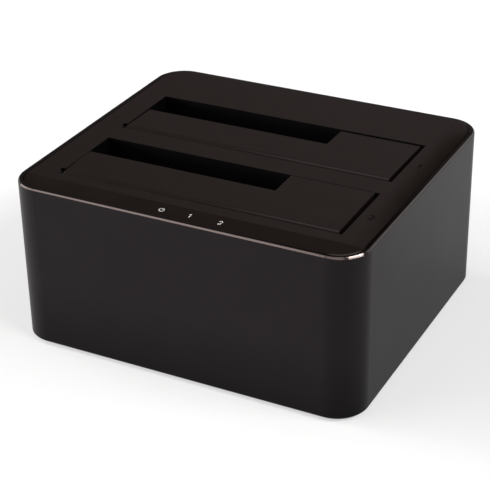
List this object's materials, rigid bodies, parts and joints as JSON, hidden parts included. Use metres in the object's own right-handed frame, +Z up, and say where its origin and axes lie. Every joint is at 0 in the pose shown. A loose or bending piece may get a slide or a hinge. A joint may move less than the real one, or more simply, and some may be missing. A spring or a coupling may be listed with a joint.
{
  "type": "hard drive docking station",
  "caption": "Desktop dock with two top-loading drive bays under sprung L-shaped flaps, in a low rounded box with ports at the rear.",
  "frame": {"origin": "on the surface that the feet stand on, under the middle of the housing", "axes": "+X to the right seen from the front, +Y to the rear where the ports are, +Z up"},
  "size_m": [0.1298, 0.1148, 0.0618],
  "materials": {
    "sleeve": "black anodised, fine satin",
    "top_plastic": "satin moulded, very fine grain",
    "inner_plastic": "matt moulded",
    "base_plastic": "matt moulded",
    "button_plastic": "satin moulded",
    "steel": "bright drawn",
    "dark_steel": "blackened",
    "screw_steel": "black zinc",
    "board": "solder mask over glass fibre",
    "socket_plastic": "matt moulded",
    "contact_gold": "gold plated",
    "chip_resin": "matt moulded resin",
    "ferrite": "sintered grey",
    "can_aluminium": "drawn can",
    "ceramic": "sintered tan",
    "port_plastic": "moulded blue",
    "jack_plastic": "matt moulded",
    "white_plastic": "moulded natural",
    "lamp": "clear resin over phosphor",
    "light_pipe": "clear moulded",
    "cable": "grey insulation",
    "foot_rubber": "soft matt"
  },
  "bodies": {
    "housing": {"outer_sleeve": "sleeve", "top_panel": "top_plastic", "drive_cradle": "inner_plastic", "base_plate": "base_plastic", "rear_flap_pin": "dark_steel", "front_flap_pin": "dark_steel", "rear_flap_spring": "steel", "front_flap_spring": "steel", "main_board": "board", "rear_sata_socket": "socket_plastic", "front_sata_socket": "socket_plastic", "rear_sata_contacts": "contact_gold", "front_sata_contacts": "contact_gold", "bridge_chip": "chip_resin", "memory_chip": "chip_resin", "crystal": "steel", "power_inductors": "ferrite", "electrolytic_capacitors": "can_aluminium", "regulator_chips": "chip_resin", "ceramic_capacitors": "ceramic", "usb_shell": "steel", "usb_insert": "port_plastic", "usb_contacts": "contact_gold", "dc_jack": "jack_plastic", "dc_jack_pin": "steel", "switch_body": "jack_plastic", "switch_spring": "steel", "led_board": "board", "indicator_leds": "lamp", "power_light_pipe": "light_pipe", "rear_bay_light_pipe": "light_pipe", "front_bay_light_pipe": "light_pipe", "led_cable": "cable", "led_board_header": "white_plastic", "main_board_header": "white_plastic", "base_screws": "screw_steel", "board_screws": "screw_steel", "panel_screws": "screw_steel", "led_board_screws": "screw_steel", "foot_front_left": "foot_rubber", "foot_front_right": "foot_rubber", "foot_rear_left": "foot_rubber", "foot_rear_right": "foot_rubber"},
    "rear_flap": {"rear_flap": "top_plastic"},
    "front_flap": {"front_flap": "top_plastic"},
    "power_button": {"power_button": "button_plastic", "switch_plunger": "white_plastic"}
  },
  "joints": [
    {"name": "rear_flap_hinge", "type": "hinge", "parent": "housing", "child": "rear_flap", "pos_m": [0, 0.0013, 0.0593], "axis": [1, 0, 0], "range_deg": [-88, 0], "stiffness_Nm_per_rad": 0.01, "springref_deg": 28.65, "deforming": ["rear_flap_spring"]},
    {"name": "front_flap_hinge", "type": "hinge", "parent": "housing", "child": "front_flap", "pos_m": [0, -0.04, 0.0593], "axis": [1, 0, 0], "range_deg": [-88, 0], "stiffness_Nm_per_rad": 0.01, "springref_deg": 28.65, "deforming": ["front_flap_spring"]},
    {"name": "power_button_press", "type": "slide", "parent": "housing", "child": "power_button", "axis": [0, -1, 0], "range_m": [0, 0.0012], "stiffness_N_per_m": 600, "springref_m": -0.001, "deforming": ["switch_spring"]}
  ]
}
